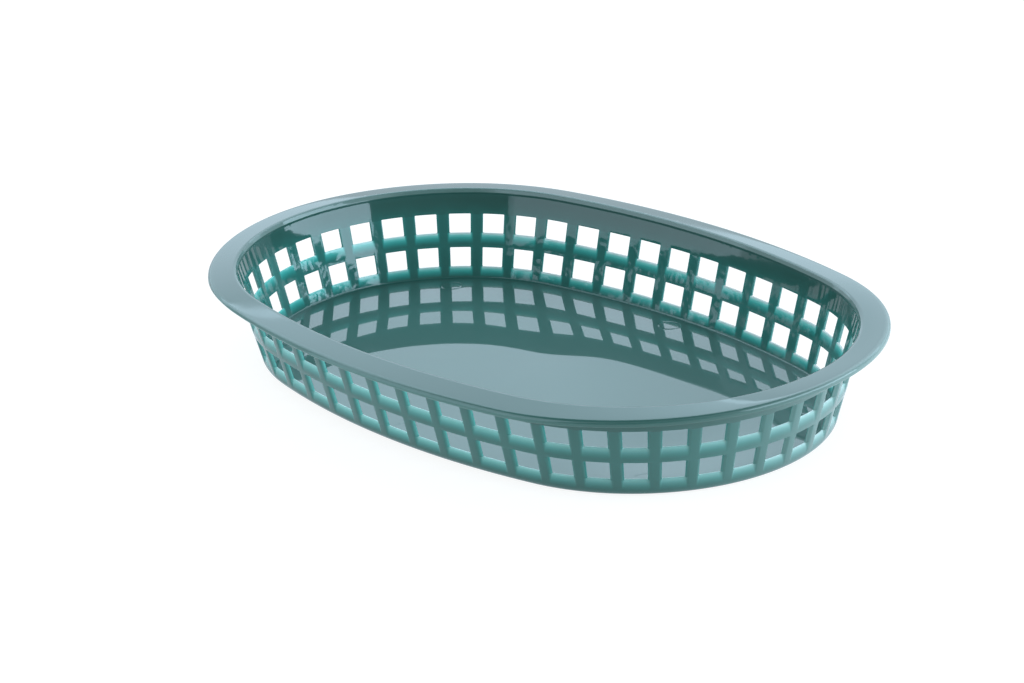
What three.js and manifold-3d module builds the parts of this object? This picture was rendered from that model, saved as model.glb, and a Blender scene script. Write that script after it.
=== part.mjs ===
// Oval serving basket: drooping flanged rim, open lattice wall and solid floor.
// Millimetres, +Z up, +X along the length. The origin is the middle of the foot, on the table.
import * as THREE from 'three';
import { mergeGeometries, mergeVertices } from 'three/addons/utils/BufferGeometryUtils.js';
import Module from 'manifold-3d';

const wasm = await Module();
wasm.setup();

// Plan of the rim's outer edge: two round end arcs joined by two flatter side arcs
const LENGTH = 266.7;
const END_RADIUS = 85;
const SIDE_RADIUS = 300;

// Heights, in order from the table up
const FOOT_HEIGHT = 0.5;
const FLOOR_THICKNESS = 1.5;
const LOWER_BAND_RISE = 4.2;
const WINDOW_HEIGHT = 6.9;
const RAIL_HEIGHT = 5.4;
const UPPER_BAND_HEIGHT = 6;
const RIM_THICKNESS = 2.1;
const RIM_FALL = 1.3;

// Sections: insets are measured inward from the rim's outer edge
const RIM_WIDTH = 9.95;
const RIM_EDGE_ROUND = 1;
const RIM_INNER_ROUND = 2.5;
const WALL_LEAN_DEG = 15.3;
const WALL_THICKNESS = 1.6;
const RAIL_LIP = 0.5;
const RAIL_EDGE_HEIGHT = 1.3;
const HEEL_RADIUS = 3;
const FLOOR_LEDGE = 4;

// Lattice
const SIDE_UPRIGHTS = 9;
const END_UPRIGHTS = 15;
const SIDE_UPRIGHT_WIDTH = 4.9;
const END_UPRIGHT_WIDTH = 4.65;

// Gap kept where two pieces lap
const CLEARANCE = 0.3;

// Facets along each arc and each rounded corner
const END_FACETS = 30;
const SIDE_FACETS = 10;
const CORNER_FACETS = 3;

// Finish
const PLASTIC_COLOR = 0x3f7672;
const PLASTIC_ROUGHNESS = 0.2;

// Levels
const FLOOR_TOP = FOOT_HEIGHT + FLOOR_THICKNESS;
const LOWER_BAND_TOP = FLOOR_TOP + LOWER_BAND_RISE;
const RAIL_BOTTOM = LOWER_BAND_TOP + WINDOW_HEIGHT;
const RAIL_TOP = RAIL_BOTTOM + RAIL_HEIGHT;
const UPPER_BAND_BOTTOM = RAIL_TOP + WINDOW_HEIGHT;
const RIM_BOTTOM = UPPER_BAND_BOTTOM + UPPER_BAND_HEIGHT;
const RIM_EDGE_TOP = RIM_BOTTOM + RIM_THICKNESS;
const HEIGHT = RIM_EDGE_TOP + RIM_FALL;

// Where an upright laps a rail, each keeps half of the wall less half of the gap
const LAP_WEB = (WALL_THICKNESS - CLEARANCE) / 2;

// The four arcs of the plan, in turn from the +X end
const endCentre = LENGTH / 2 - END_RADIUS;
const sideCentre = Math.sqrt((SIDE_RADIUS - END_RADIUS) ** 2 - endCentre ** 2);
const joinAngle = Math.atan2(sideCentre, endCentre);
const endArc = { radius: END_RADIUS, facets: END_FACETS, uprights: END_UPRIGHTS,
  width: END_UPRIGHT_WIDTH, name: 'end_upright' };
const sideArc = { radius: SIDE_RADIUS, facets: SIDE_FACETS, uprights: SIDE_UPRIGHTS,
  width: SIDE_UPRIGHT_WIDTH, name: 'side_upright' };
const ARCS = [
  { ...endArc, x: endCentre, y: 0, from: -joinAngle, to: joinAngle },
  { ...sideArc, x: 0, y: -sideCentre, from: joinAngle, to: Math.PI - joinAngle },
  { ...endArc, x: -endCentre, y: 0, from: Math.PI - joinAngle, to: Math.PI + joinAngle },
  { ...sideArc, x: 0, y: sideCentre, from: Math.PI + joinAngle, to: 2 * Math.PI - joinAngle },
];

// Inset of the wall's leaning inner face, and of a face that lies a given depth into the wall
const lean = Math.tan(THREE.MathUtils.degToRad(WALL_LEAN_DEG));
const inner = (z) => RIM_WIDTH + (HEIGHT - z) * lean;
const inWall = (z, depth) => new THREE.Vector2(inner(z) - depth, z);

// Stations around the plan, each a place on one arc
const stations = ARCS.flatMap((arc) => Array.from({ length: arc.facets }, (_, i) => (
  { arc, angle: THREE.MathUtils.lerp(arc.from, arc.to, i / arc.facets) })));

function planPoint({ arc, angle }, inset) {
  const reach = arc.radius - inset;
  return new THREE.Vector2(arc.x + reach * Math.cos(angle), arc.y + reach * Math.sin(angle));
}

// A corner's arc from one angle to another about a centre given as inset and height
function corner(inset, z, radius, from, to) {
  return Array.from({ length: CORNER_FACETS + 1 }, (_, i) => {
    const angle = THREE.MathUtils.degToRad(THREE.MathUtils.lerp(from, to, i / CORNER_FACETS));
    return new THREE.Vector2(inset - radius * Math.cos(angle), z + radius * Math.sin(angle));
  });
}

// Ring swept around the plan: a turned ring whose every vertex is carried to the oval.
// The section is a closed outline of insets and heights, counter-clockwise with outward to the right.
function ring(section) {
  const outline = [...section, section[0]];
  const geometry = new THREE.LatheGeometry(outline, stations.length);
  const position = geometry.getAttribute('position');
  for (let i = 0; i < position.count; i += 1) {
    const station = stations[Math.floor(i / outline.length) % stations.length];
    const { x: inset, y: z } = outline[i % outline.length];
    const plan = planPoint(station, inset);
    position.setXYZ(i, plan.x, plan.y, z);
  }
  return geometry;
}

// Closed triangle mesh to solid, and back
function solid(geometry) {
  const bare = geometry.clone();
  bare.deleteAttribute('normal');
  bare.deleteAttribute('uv');
  const merged = mergeVertices(bare);
  const vertProperties = merged.getAttribute('position').array;
  const triVerts = Uint32Array.from(merged.index.array);
  return new wasm.Manifold(new wasm.Mesh({ numProp: 3, vertProperties, triVerts }));
}

function surface(cut) {
  const { vertProperties, triVerts } = cut.getMesh();
  const geometry = new THREE.BufferGeometry();
  geometry.setAttribute('position', new THREE.BufferAttribute(vertProperties, 3));
  geometry.setIndex(new THREE.BufferAttribute(triVerts, 1));
  geometry.computeVertexNormals();
  return geometry;
}

// A bar across the wall: its side outline of insets and heights, as wide as given along the wall.
// It stands on the arc's +X radius about the arc's centre.
function crossBar(arc, outline, width) {
  const side = outline.map(({ x: inset, y: z }) => new THREE.Vector2(arc.radius - inset, z));
  const geometry = new THREE.ExtrudeGeometry(new THREE.Shape(side), { depth: width, bevelEnabled: false });
  return geometry.rotateX(Math.PI / 2).translate(0, width / 2, 0);
}

const uprightAngles = (arc) => Array.from({ length: arc.uprights }, (_, i) => (
  THREE.MathUtils.lerp(arc.from, arc.to, (i + 0.5) / arc.uprights)));

function mesh(name, geometry) {
  const material = new THREE.MeshStandardMaterial(
    { color: PLASTIC_COLOR, roughness: PLASTIC_ROUGHNESS, metalness: 0 });
  const piece = new THREE.Mesh(geometry, material);
  piece.name = name;
  return piece;
}

// The flange falls from its crown to its outer edge, and its underside falls with it
function rimFlange() {
  // The inner corner's round meets the crown and the leaning inner face
  const turn = 90 - WALL_LEAN_DEG;
  const reach = RIM_INNER_ROUND * Math.tan(THREE.MathUtils.degToRad(turn / 2));
  const crown = RIM_WIDTH - reach;
  const slope = RIM_FALL / (crown - RIM_EDGE_ROUND);
  const tilt = THREE.MathUtils.radToDeg(Math.atan(slope));
  const innerRound = corner(crown, HEIGHT - RIM_INNER_ROUND, RIM_INNER_ROUND, 90 - tilt, 90 + turn);
  const outerRound = corner(RIM_EDGE_ROUND, RIM_BOTTOM + RIM_EDGE_ROUND, RIM_EDGE_ROUND, -90, 0);
  const upperRound = corner(RIM_EDGE_ROUND, RIM_EDGE_TOP - RIM_EDGE_ROUND, RIM_EDGE_ROUND, 0, 90 - tilt);
  const root = inWall(RIM_BOTTOM, WALL_THICKNESS);
  const underside = inWall(RIM_BOTTOM + slope * (root.x - RIM_EDGE_ROUND), WALL_THICKNESS);
  return mesh('rim_flange', ring([
    inWall(RIM_BOTTOM, 0), root, underside, ...outerRound, ...upperRound, ...innerRound]));
}

function upperBand() {
  return mesh('upper_band', ring([
    inWall(UPPER_BAND_BOTTOM, 0),
    inWall(UPPER_BAND_BOTTOM, WALL_THICKNESS),
    inWall(RIM_BOTTOM, WALL_THICKNESS),
    inWall(RIM_BOTTOM, 0),
  ]));
}

// Rounded shoulder of a rail, from its full lower edge up to the thin lip at its top
function shoulder(edge, top) {
  return Array.from({ length: CORNER_FACETS + 1 }, (_, i) => {
    const turn = (i / CORNER_FACETS) * Math.PI / 2;
    const depth = THREE.MathUtils.lerp(RAIL_LIP, WALL_THICKNESS, Math.cos(turn));
    return inWall(THREE.MathUtils.lerp(edge, top, Math.sin(turn)), depth);
  });
}

function middleRail(notches) {
  const section = [
    inWall(RAIL_BOTTOM, 0),
    inWall(RAIL_BOTTOM, WALL_THICKNESS),
    ...shoulder(RAIL_BOTTOM + RAIL_EDGE_HEIGHT, RAIL_TOP),
    inWall(RAIL_TOP, 0),
  ];
  return mesh('middle_rail', surface(solid(ring(section)).subtract(notches)));
}

function lowerBand(notches) {
  const foot = inner(FLOOR_TOP);
  const heelTop = inWall(HEEL_RADIUS, WALL_THICKNESS);
  const heel = corner(heelTop.x + HEEL_RADIUS, HEEL_RADIUS, HEEL_RADIUS, -90, 0);
  const section = [
    new THREE.Vector2(foot, FLOOR_TOP),
    new THREE.Vector2(foot, FOOT_HEIGHT),
    new THREE.Vector2(foot + FLOOR_LEDGE, FOOT_HEIGHT),
    new THREE.Vector2(foot + FLOOR_LEDGE, 0),
    ...heel.slice(0, -1),
    ...shoulder(HEEL_RADIUS, LOWER_BAND_TOP),
    inWall(LOWER_BAND_TOP, 0),
  ];
  return mesh('lower_band', surface(solid(ring(section)).subtract(notches)));
}

function floorPanel() {
  const edge = stations.map((station) => planPoint(station, inner(FLOOR_TOP) + CLEARANCE));
  const geometry = new THREE.ExtrudeGeometry(new THREE.Shape(edge),
    { depth: FLOOR_THICKNESS, bevelEnabled: false });
  const panel = mesh('floor_panel', geometry);
  panel.position.z = FOOT_HEIGHT;
  return panel;
}

// An upright hangs from the upper band and laps the outside of the rail and of the lower band
function uprightOutline() {
  const strap = LAP_WEB + CLEARANCE;
  return [
    inWall(HEEL_RADIUS, strap),
    inWall(HEEL_RADIUS, WALL_THICKNESS),
    inWall(UPPER_BAND_BOTTOM, WALL_THICKNESS),
    inWall(UPPER_BAND_BOTTOM, 0),
    inWall(RAIL_TOP + CLEARANCE, 0),
    inWall(RAIL_TOP + CLEARANCE, strap),
    inWall(RAIL_BOTTOM - CLEARANCE, strap),
    inWall(RAIL_BOTTOM - CLEARANCE, 0),
    inWall(LOWER_BAND_TOP + CLEARANCE, 0),
    inWall(LOWER_BAND_TOP + CLEARANCE, strap),
  ];
}

function uprights(arc, firstNumber) {
  return uprightAngles(arc).map((angle, i) => {
    const number = String(firstNumber + i).padStart(2, '0');
    const piece = mesh(`${arc.name}_${number}`, crossBar(arc, uprightOutline(), arc.width));
    piece.position.set(arc.x, arc.y, 0);
    piece.rotation.z = angle;
    return piece;
  });
}

// Notches that let the uprights pass the rail and the lower band, leaving a web behind each
function lapNotches() {
  const low = HEEL_RADIUS - CLEARANCE;
  const outside = 2 * WALL_THICKNESS;
  const outline = [
    inWall(low, LAP_WEB),
    inWall(low, outside),
    inWall(UPPER_BAND_BOTTOM, outside),
    inWall(UPPER_BAND_BOTTOM, LAP_WEB),
  ];
  const cuts = ARCS.flatMap((arc) => uprightAngles(arc).map((angle) => (
    crossBar(arc, outline, arc.width + 2 * CLEARANCE).rotateZ(angle).translate(arc.x, arc.y, 0))));
  return solid(mergeGeometries(cuts));
}

const notches = lapNotches();
const basket = new THREE.Group();
basket.add(floorPanel(), lowerBand(notches), middleRail(notches), upperBand(), rimFlange());
ARCS.forEach((arc, turn) => {
  const firstNumber = turn < 2 ? 1 : arc.uprights + 1;
  basket.add(...uprights(arc, firstNumber));
});

export default basket;
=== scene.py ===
import math
from typing import NamedTuple

import bpy
from bpy.props import FloatProperty, FloatVectorProperty, IntProperty, PointerProperty
from mathutils import Matrix, Vector
from mathutils.geometry import delaunay_2d_cdt


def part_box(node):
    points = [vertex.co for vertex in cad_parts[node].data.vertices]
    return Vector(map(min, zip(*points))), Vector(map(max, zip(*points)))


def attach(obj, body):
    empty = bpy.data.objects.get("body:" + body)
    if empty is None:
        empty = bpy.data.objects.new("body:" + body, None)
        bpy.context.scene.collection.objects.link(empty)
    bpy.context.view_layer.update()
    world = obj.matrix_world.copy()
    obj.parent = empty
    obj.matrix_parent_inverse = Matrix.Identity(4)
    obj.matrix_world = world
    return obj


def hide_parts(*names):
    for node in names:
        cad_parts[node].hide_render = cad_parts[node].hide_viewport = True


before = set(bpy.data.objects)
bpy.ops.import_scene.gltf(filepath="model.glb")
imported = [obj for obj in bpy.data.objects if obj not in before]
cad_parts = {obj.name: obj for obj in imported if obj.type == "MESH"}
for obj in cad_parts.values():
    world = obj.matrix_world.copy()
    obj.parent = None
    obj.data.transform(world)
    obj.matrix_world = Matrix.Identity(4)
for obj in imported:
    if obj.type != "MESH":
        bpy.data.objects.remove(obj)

bl_info = {
    "name": "Oval serving basket",
    "version": (1, 0, 0),
    "blender": (4, 5, 0),
    "location": "3D View > Sidebar > Basket",
    "description": "Dresses a moulded lattice serving basket around its measured frame",
    "category": "Object",
}

MM = 0.001
QUARTER = math.pi / 2
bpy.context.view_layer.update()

# Levels and outline that the frame gives
RIM_LOW, RIM_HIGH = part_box("rim_flange")
UPPER_BAND_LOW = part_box("upper_band")[0].z
RAIL_LOW, RAIL_HIGH = (corner.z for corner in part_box("middle_rail"))
LOWER_BAND_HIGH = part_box("lower_band")[1].z
FLOOR_LOW, FLOOR_HIGH = (corner.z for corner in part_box("floor_panel"))

BODY = "root"
# Names of the painted glow and the painted edge light: light through the thin plastic, painted into its
# colour
GLOW = "glow"
EDGE_LIGHT = "edge_light"


def distance(name, description, default):
    """A length that a user may change."""
    return FloatProperty(name=name, description=description, default=default, min=0, precision=5,
                         subtype="DISTANCE", unit="LENGTH")


def angle(name, description, degrees):
    """An angle that a user may change."""
    return FloatProperty(name=name, description=description, default=math.radians(degrees),
                         subtype="ANGLE", unit="ROTATION")


def share(name, description, default, most=1.0):
    """A plain number from 0 to its most."""
    return FloatProperty(name=name, description=description, default=default, min=0, max=most)


def colour(name, description, default):
    """A linear colour that a user may change."""
    return FloatVectorProperty(name=name, description=description, default=default, size=3,
                               min=0, max=1, subtype="COLOR")


class BasketSizes(bpy.types.PropertyGroup):
    """Sizes of the basket, in metres."""

    length: distance("Length", "Length over the rim", RIM_HIGH.x - RIM_LOW.x)
    width: distance("Width", "Width over the rim", RIM_HIGH.y - RIM_LOW.y)
    end_radius: distance("End radius", "Radius of the rim's two round ends", 85 * MM)
    rim_width: distance("Rim width", "From the rim's outer edge to the wall's inner face", 9.95 * MM)
    rim_thickness: distance("Rim thickness", "Height of the rim's outer edge", 2.1 * MM)
    rim_edge_round: distance("Rim edge round", "Radius of the outer edge's upper corner", 1.4 * MM)
    rim_lower_round: distance("Rim lower round", "Radius of the outer edge's lower corner", 0.5 * MM)
    rim_crest: distance("Rim crest", "From the rim's outer edge to its crest", 9.13 * MM)
    rim_crest_round: distance("Rim crest round", "Radius of the rim's crest", 2 * MM)
    rim_inner_slope: distance("Rim inner slope", "Length of the rim's slope inside its crest", 0.2 * MM)
    rim_edge_fall: angle("Rim edge fall", "Slope of the rim's top at its outer edge", 14)
    rim_top_fall: angle("Rim top fall", "Slope of the rim's top outside its crest", 8)
    rim_inner_fall: angle("Rim inner fall", "Slope of the rim's top inside its crest", 17)
    rim_bead_corner: distance("Rim bead corner", "Radius between the rim's top and its bead", 0.3 * MM)
    rim_bead_round: distance("Rim bead round", "Radius of the bead inside the rim", 1.0 * MM)
    rim_bead_face: angle("Rim bead face", "Slope of the bead's face inside the rim", 64)
    rim_bead_lean: angle("Rim bead lean", "How far the bead leans back under itself", 14)
    rim_bead_root: distance("Rim bead root", "Radius of the hollow under the bead", 0.8 * MM)
    rim_lip: distance("Rim lip", "How far the rim's outer edge hangs below the flange", 0.3 * MM)
    rim_thinning: distance("Rim thinning", "How much thinner the rim's edge is at one end", 1.1 * MM)
    rim_spring: distance("Rim spring", "How far the rim's edge springs up at one end", 2.0 * MM)
    wall_lean: angle("Wall lean", "Lean of the wall out from upright", 15.3)
    wall_thickness: distance("Wall thickness", "Thickness of the bands and uprights", 1.6 * MM)
    rail_lip: distance("Rail lip", "Thickness of a rail at its thin top edge", 0.4 * MM)
    rail_edge_height: distance("Rail edge height", "Height of a rail's full lower strip", 1.3 * MM)
    lower_band_edge: distance("Lower band edge", "Height where the lower band starts to thin", 2.2 * MM)
    upright_lip: distance("Upright lip", "Thickness of an upright at its side edges", 0.35 * MM)
    upright_draft: distance("Upright draft", "Width of an upright's tapered sides", 1.1 * MM)
    edge_round: distance("Edge round", "Radius of the moulded edges", 0.15 * MM)
    window_corner: distance("Window corner", "Radius of the windows' corners", 0.18 * MM)
    junction_blend: distance("Junction blend", "Fillet where uprights meet rails", 0.2 * MM)
    heel_radius: distance("Heel radius", "Radius of the wall's outer foot", 3 * MM)
    floor_fillet: distance("Floor fillet", "Radius where the wall meets the floor", 0.6 * MM)
    foot_width: distance("Foot width", "From the wall's foot to the foot ring's inner edge", 4 * MM)
    side_uprights: IntProperty(name="Side uprights", description="Uprights on each side arc", default=9)
    end_uprights: IntProperty(name="End uprights", description="Uprights on each end arc", default=15)
    side_upright_width: distance("Side upright width", "Width of a side upright", 4.9 * MM)
    end_upright_width: distance("End upright width", "Width of an end upright", 4.65 * MM)
    floor_ripple: distance("Floor ripple", "Rise of the floor around its gate", 0.02 * MM)
    floor_warp: distance("Floor warp", "How far the moulded floor is out of true", 0.55 * MM)
    pin_mark: distance("Pin mark", "Diameter of the ejector marks in the floor", 8 * MM)
    gate_mark: distance("Gate mark", "Diameter of the moulding gate under the floor", 6 * MM)


class BasketFinish(bpy.types.PropertyGroup):
    """Colours and gloss of the moulded plastic, and the colours of its painted glow and painted edge
    light.
    """

    body: colour("Body", "Colour of the plastic where it is thick", (0.036, 0.110, 0.093))
    # Colour of the painted glow, which stands in for light coming through thin plastic
    thin: colour("Painted Glow Colour", "Colour of the plastic where it is thin", (0.07, 0.93, 0.83))
    # Colour of the painted edge light, near white at the thinnest edges
    edge: colour("Edge", "Colour of the plastic's thinnest edges", (0.95, 0.98, 0.96))
    gloss: share("Gloss roughness", "Roughness of the rim's polish", 0.045)


class StageSettings(bpy.types.PropertyGroup):
    """Camera and studio light."""

    azimuth: angle("Azimuth", "Camera's turn from the front", 47.469)
    elevation: angle("Elevation", "Camera's height angle", 21.38)
    roll: angle("Roll", "Camera's roll", -2.052)
    reach: distance("Reach", "Camera's distance from the basket", 1169.7 * MM)
    slide: FloatProperty(name="Slide", description="Camera's shift to its right", default=-9.988 * MM,
                         subtype="DISTANCE", unit="LENGTH")
    lift: FloatProperty(name="Lift", description="Camera's shift upward", default=13.901 * MM,
                        subtype="DISTANCE", unit="LENGTH")
    lens: FloatProperty(name="Lens", description="Focal length on a 36 mm sensor", default=116.97,
                        subtype="DISTANCE_CAMERA", unit="CAMERA")
    left_level: share("Left softbox", "Brightness of the softbox left of the basket", 5.0, 20)
    right_level: share("Right softbox", "Brightness of the softbox right of the basket", 1.2, 20)
    back_level: share("Back softbox", "Brightness of the softbox behind the basket", 1.0, 20)
    top_level: share("Top softbox", "Brightness of the softbox high behind the basket", 1.9, 20)
    ambient: share("Ambient", "Level of the room's soft light", 0.32, 5)
    dark_gap: angle("Dark gap", "Unlit room seen either side of the camera", 41.5)
    gap_turn: angle("Gap turn", "Turn of the unlit room away from the camera", 2.5)
    lamp_colour: colour("Lamp colour", "Tint of the softboxes", (0.63, 0.85, 1.0))


# Plan of the basket

class Arc(NamedTuple):
    """One arc of the plan: centre, radius and turn, and the uprights that stand on it."""

    x: float
    y: float
    radius: float
    start: float
    end: float
    uprights: int
    upright_width: float


class Station(NamedTuple):
    """A place around the wall: the upright it belongs to, and how far it lies to that upright's side."""

    arc: Arc
    middle: float
    offset: float
    sway: float


def plan_arcs(sizes):
    """The four arcs of the rim's outer edge in turn from the +X end."""
    reach = sizes.length / 2 - sizes.end_radius
    half_width = sizes.width / 2
    excess = half_width - sizes.end_radius
    side_radius = (reach ** 2 + half_width ** 2 - sizes.end_radius ** 2) / (2 * excess)
    setback = side_radius - half_width
    join = math.atan2(setback, reach)
    end = (sizes.end_uprights, sizes.end_upright_width)
    side = (sizes.side_uprights, sizes.side_upright_width)
    return [
        Arc(reach, 0, sizes.end_radius, -join, join, *end),
        Arc(0, -setback, side_radius, join, math.pi - join, *side),
        Arc(-reach, 0, sizes.end_radius, math.pi - join, math.pi + join, *end),
        Arc(0, setback, side_radius, math.pi + join, 2 * math.pi - join, *side),
    ]


def inner_inset(sizes, z):
    """Inset of the wall's inner face from the rim's outer edge at a height."""
    return sizes.rim_width + (RIM_HIGH.z - z) * math.tan(sizes.wall_lean)


def lattice_radius(sizes, arc):
    """Radius of an arc at mid-height of the lattice, where the uprights' widths are measured."""
    return arc.radius - inner_inset(sizes, (RAIL_LOW + RAIL_HIGH) / 2)


DRAFT_STEPS = (1, 0.65, 0.35, 0.12, 0)
WINDOW_EDGE_STEP = 0.5 * MM
EDGE_SLACK = WINDOW_EDGE_STEP / 10
HALFWAY_SWAY = 0.4


def upright_lines(sizes, arc):
    """Offsets of the mesh lines from an upright's middle to the middle of the next window,
    each with how much of the window corner's round it follows."""
    half = arc.upright_width / 2
    half_pitch = (arc.end - arc.start) / arc.uprights / 2 * lattice_radius(sizes, arc)
    near = half + WINDOW_EDGE_STEP
    lines = [(0, 0)]
    lines += [(half - step * sizes.upright_draft, 1) for step in DRAFT_STEPS]
    lines += [(near, 1), ((near + half_pitch) / 2, HALFWAY_SWAY), (half_pitch, 0)]
    return lines


def stations_around(sizes):
    """Mesh lines all around the wall, upright by upright."""
    stations = []
    for arc in plan_arcs(sizes):
        lines = upright_lines(sizes, arc)
        pitch = (arc.end - arc.start) / arc.uprights
        for number in range(arc.uprights):
            middle = arc.start + (number + 0.5) * pitch
            for offset, sway in reversed(lines[1:]):
                stations.append(Station(arc, middle, -offset, -sway))
            for offset, sway in lines[:-1]:
                stations.append(Station(arc, middle, offset, sway))
    return stations


def nearness(sizes, station, turn, reach):
    """How near a station's direction is to another, in degrees, from 0 to 1."""
    facing = math.degrees(station.middle + station.offset / lattice_radius(sizes, station.arc))
    away = (facing - turn + 180) % 360 - 180
    return math.exp(-(away / reach) ** 2)


def window_spans():
    """Heights of the two rows of windows."""
    return [(LOWER_BAND_HIGH, RAIL_LOW), (RAIL_HIGH, UPPER_BAND_LOW)]


def in_window_row(z):
    """Whether a height lies in a row of windows."""
    return any(low < z < high for low, high in window_spans())


def corner_sway(sizes, z):
    """How far the rounded window corners reach along the wall at a height."""
    levels = [level for span in window_spans() for level in span]
    nearest = min(abs(z - level) for level in levels)
    left = max(0, 1 - nearest / sizes.window_corner)
    return sizes.window_corner * left ** 2


def wall_point(sizes, station, inset, z):
    """A point of the wall at a station, an inset from the rim's outer edge and a height."""
    arc = station.arc
    along = station.offset + station.sway * corner_sway(sizes, z)
    turn = station.middle + along / lattice_radius(sizes, arc)
    reach = arc.radius - inset
    return Vector((arc.x + reach * math.cos(turn), arc.y + reach * math.sin(turn), z))


def inset_at(sizes, x, y):
    """Inset of a plan point from the rim's outer edge."""
    arcs = plan_arcs(sizes)
    end, side = arcs[0], arcs[1]
    turn = math.atan2(abs(y), abs(x) - end.x)
    arc = end if turn < end.end else side
    return arc.radius - math.hypot(abs(x) - arc.x, abs(y) - arc.y)


# Section of the wall

def rounded(depth, radius):
    """How far an edge of that radius falls back at a depth in from the edge."""
    short = max(0, radius - depth)
    return radius - math.sqrt(radius ** 2 - short ** 2)


def bulge(run, power):
    """Height of a superellipse's quarter: 1 at run 0, falling to 0 at run 1."""
    return (1 - min(1, max(0, run)) ** power) ** (1 / power)


RAIL_POWER = 1.3
DRAFT_POWER = 1.7


def shoulder(sizes, z, edge, top):
    """Thickness of a rail that thins from its full lower edge to a lip at its top."""
    run = (z - edge) / (top - edge)
    full = sizes.wall_thickness - sizes.rail_lip
    return sizes.rail_lip + full * bulge(run, RAIL_POWER) - rounded(top - z, sizes.rail_lip / 2)


def bar_depth(sizes, z):
    """Thickness of the level bars at a height: bands, rail, or nothing in a window row."""
    if z >= UPPER_BAND_LOW:
        return sizes.wall_thickness - rounded(z - UPPER_BAND_LOW, sizes.edge_round)
    if RAIL_LOW <= z <= RAIL_HIGH:
        under = rounded(z - RAIL_LOW, sizes.edge_round)
        return shoulder(sizes, z, RAIL_LOW + sizes.rail_edge_height, RAIL_HIGH) - under
    if z <= LOWER_BAND_HIGH:
        return shoulder(sizes, z, sizes.lower_band_edge, LOWER_BAND_HIGH)
    return 0


def inside_upright(station):
    """How far a station lies inside its upright's edge, below 0 in the windows."""
    return station.arc.upright_width / 2 - abs(station.offset)


def upright_depth(sizes, station):
    """Thickness of the upright at a station, or nothing in the windows."""
    inside = inside_upright(station)
    if inside < -EDGE_SLACK:
        return 0
    full = sizes.wall_thickness - sizes.upright_lip
    return sizes.upright_lip + full * bulge(1 - inside / sizes.upright_draft, DRAFT_POWER)


def smooth_maximum(first, second, blend):
    """The larger of two depths, with a fillet where they cross."""
    overlap = max(0, 1 - abs(first - second) / blend)
    return max(first, second) + blend * overlap ** 2 / 4


def outer_depth(sizes, station, z):
    """Depth of the wall's outer face behind its inner one."""
    bar = bar_depth(sizes, z)
    upright = upright_depth(sizes, station)
    if min(bar, upright) <= 0:
        return max(bar, upright)
    return min(smooth_maximum(bar, upright, sizes.junction_blend), sizes.wall_thickness)


def inner_depth(sizes, station, z):
    """How far the inner face's rounded edges fall back beside the windows."""
    across = max(0, inside_upright(station))
    rise = min(max(low - z, z - high, 0) for low, high in window_spans())
    return rounded(math.hypot(across, rise), sizes.edge_round)


# Painted light through the plastic, painted into its colour: shares of painted glow and of painted edge
# light, and directions in degrees with their reach
BAR_GLOW = 1.0
UPRIGHT_GLOW = 0.12
BAR_OUTER_LIGHT = (0.3, 0.31)
UPRIGHT_OUTER_LIGHT = (0.12, 0.02)
WINDOW_GLOW = (0.085, 0.025)
WINDOW_GLOW_REACH = 2 * MM
# Directions where the painted light is lighter, on the left and on the right, and where painted shade
# dims the glow at one end
LIT_LEFT = (-95, 30)
LIT_RIGHT = (22, 37)
LEFT_GLOW = 0.3
LEFT_LIGHT = 0.12
RIGHT_LIGHT = 0.15
RIGHT_LIGHT_WASH = 0.13
DIM_END = (205, 40)
END_DIMMING = 0.45
INNER_EDGE_POWER = 4
OUTER_EDGE_POWER = 2


def window_light(station, z):
    """How near the windows are to a point of the wall, summed over those around it."""
    half = station.arc.upright_width / 2
    total = 0
    for low, high in window_spans():
        rise = max(low - z, z - high, 0)
        for offset in (station.offset, -station.offset):
            run = max(half - offset, 0)
            total += math.exp(-math.hypot(run, rise) / WINDOW_GLOW_REACH)
    return total


def wall_light(sizes, station, z, thickness):
    """Painted glow and painted edge light for the inner and the outer face, standing in for the light
    that the plastic lets through, lighter in two directions and dimmer at one end.
    """
    thin = 1 - (thickness - sizes.rail_lip) / (sizes.wall_thickness - sizes.rail_lip)
    thin = min(1, max(0, thin))
    between_bars = in_window_row(z)
    near = window_light(station, z)
    inner = thin * (UPRIGHT_GLOW if between_bars else BAR_GLOW)
    inner *= 1 - END_DIMMING * nearness(sizes, station, *DIM_END)
    inner = min(1, inner + WINDOW_GLOW[0] * near)
    left = nearness(sizes, station, *LIT_LEFT)
    right = nearness(sizes, station, *LIT_RIGHT)
    glow, edge = UPRIGHT_OUTER_LIGHT if between_bars else BAR_OUTER_LIGHT
    glow = thin * (glow + LEFT_GLOW * left) + WINDOW_GLOW[1] * near
    edge = thin ** OUTER_EDGE_POWER * (edge + LEFT_LIGHT * left + RIGHT_LIGHT * right)
    return [(inner, inner ** INNER_EDGE_POWER), (glow, edge + RIGHT_LIGHT_WASH * right)]


class WallRow(NamedTuple):
    """A level row of the wall."""

    z: float

    def faces(self, sizes, station):
        """Inset and height of the inner and outer face, and the thickness between them."""
        inner = inner_inset(sizes, self.z)
        front = inner_depth(sizes, station, self.z)
        back = outer_depth(sizes, station, self.z)
        return (inner - front, self.z), (inner - back, self.z), back - front


class FootRow(NamedTuple):
    """A row of the solid foot, the same all around."""

    inner: tuple
    outer: tuple

    def faces(self, sizes, station):
        """Inset and height of the inner and outer face, and the full thickness between them."""
        return self.inner, self.outer, sizes.wall_thickness


def arc_points(inset, z, radius, start, end, count):
    """Points of a section's arc about a centre, its angles up from outward."""
    points = []
    for step in range(count + 1):
        turn = start + (end - start) * step / count
        points.append((inset - radius * math.cos(turn), z + radius * math.sin(turn)))
    return points


FOOT_STEPS = 8
SEAM_RUN = 0.7 * MM


def floor_seam(sizes):
    """Inset of the upright seam between the wall's foot and the floor."""
    turn = QUARTER - sizes.wall_lean
    return inner_inset(sizes, FLOOR_HIGH) + sizes.floor_fillet * math.tan(turn / 2) + SEAM_RUN


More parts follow.
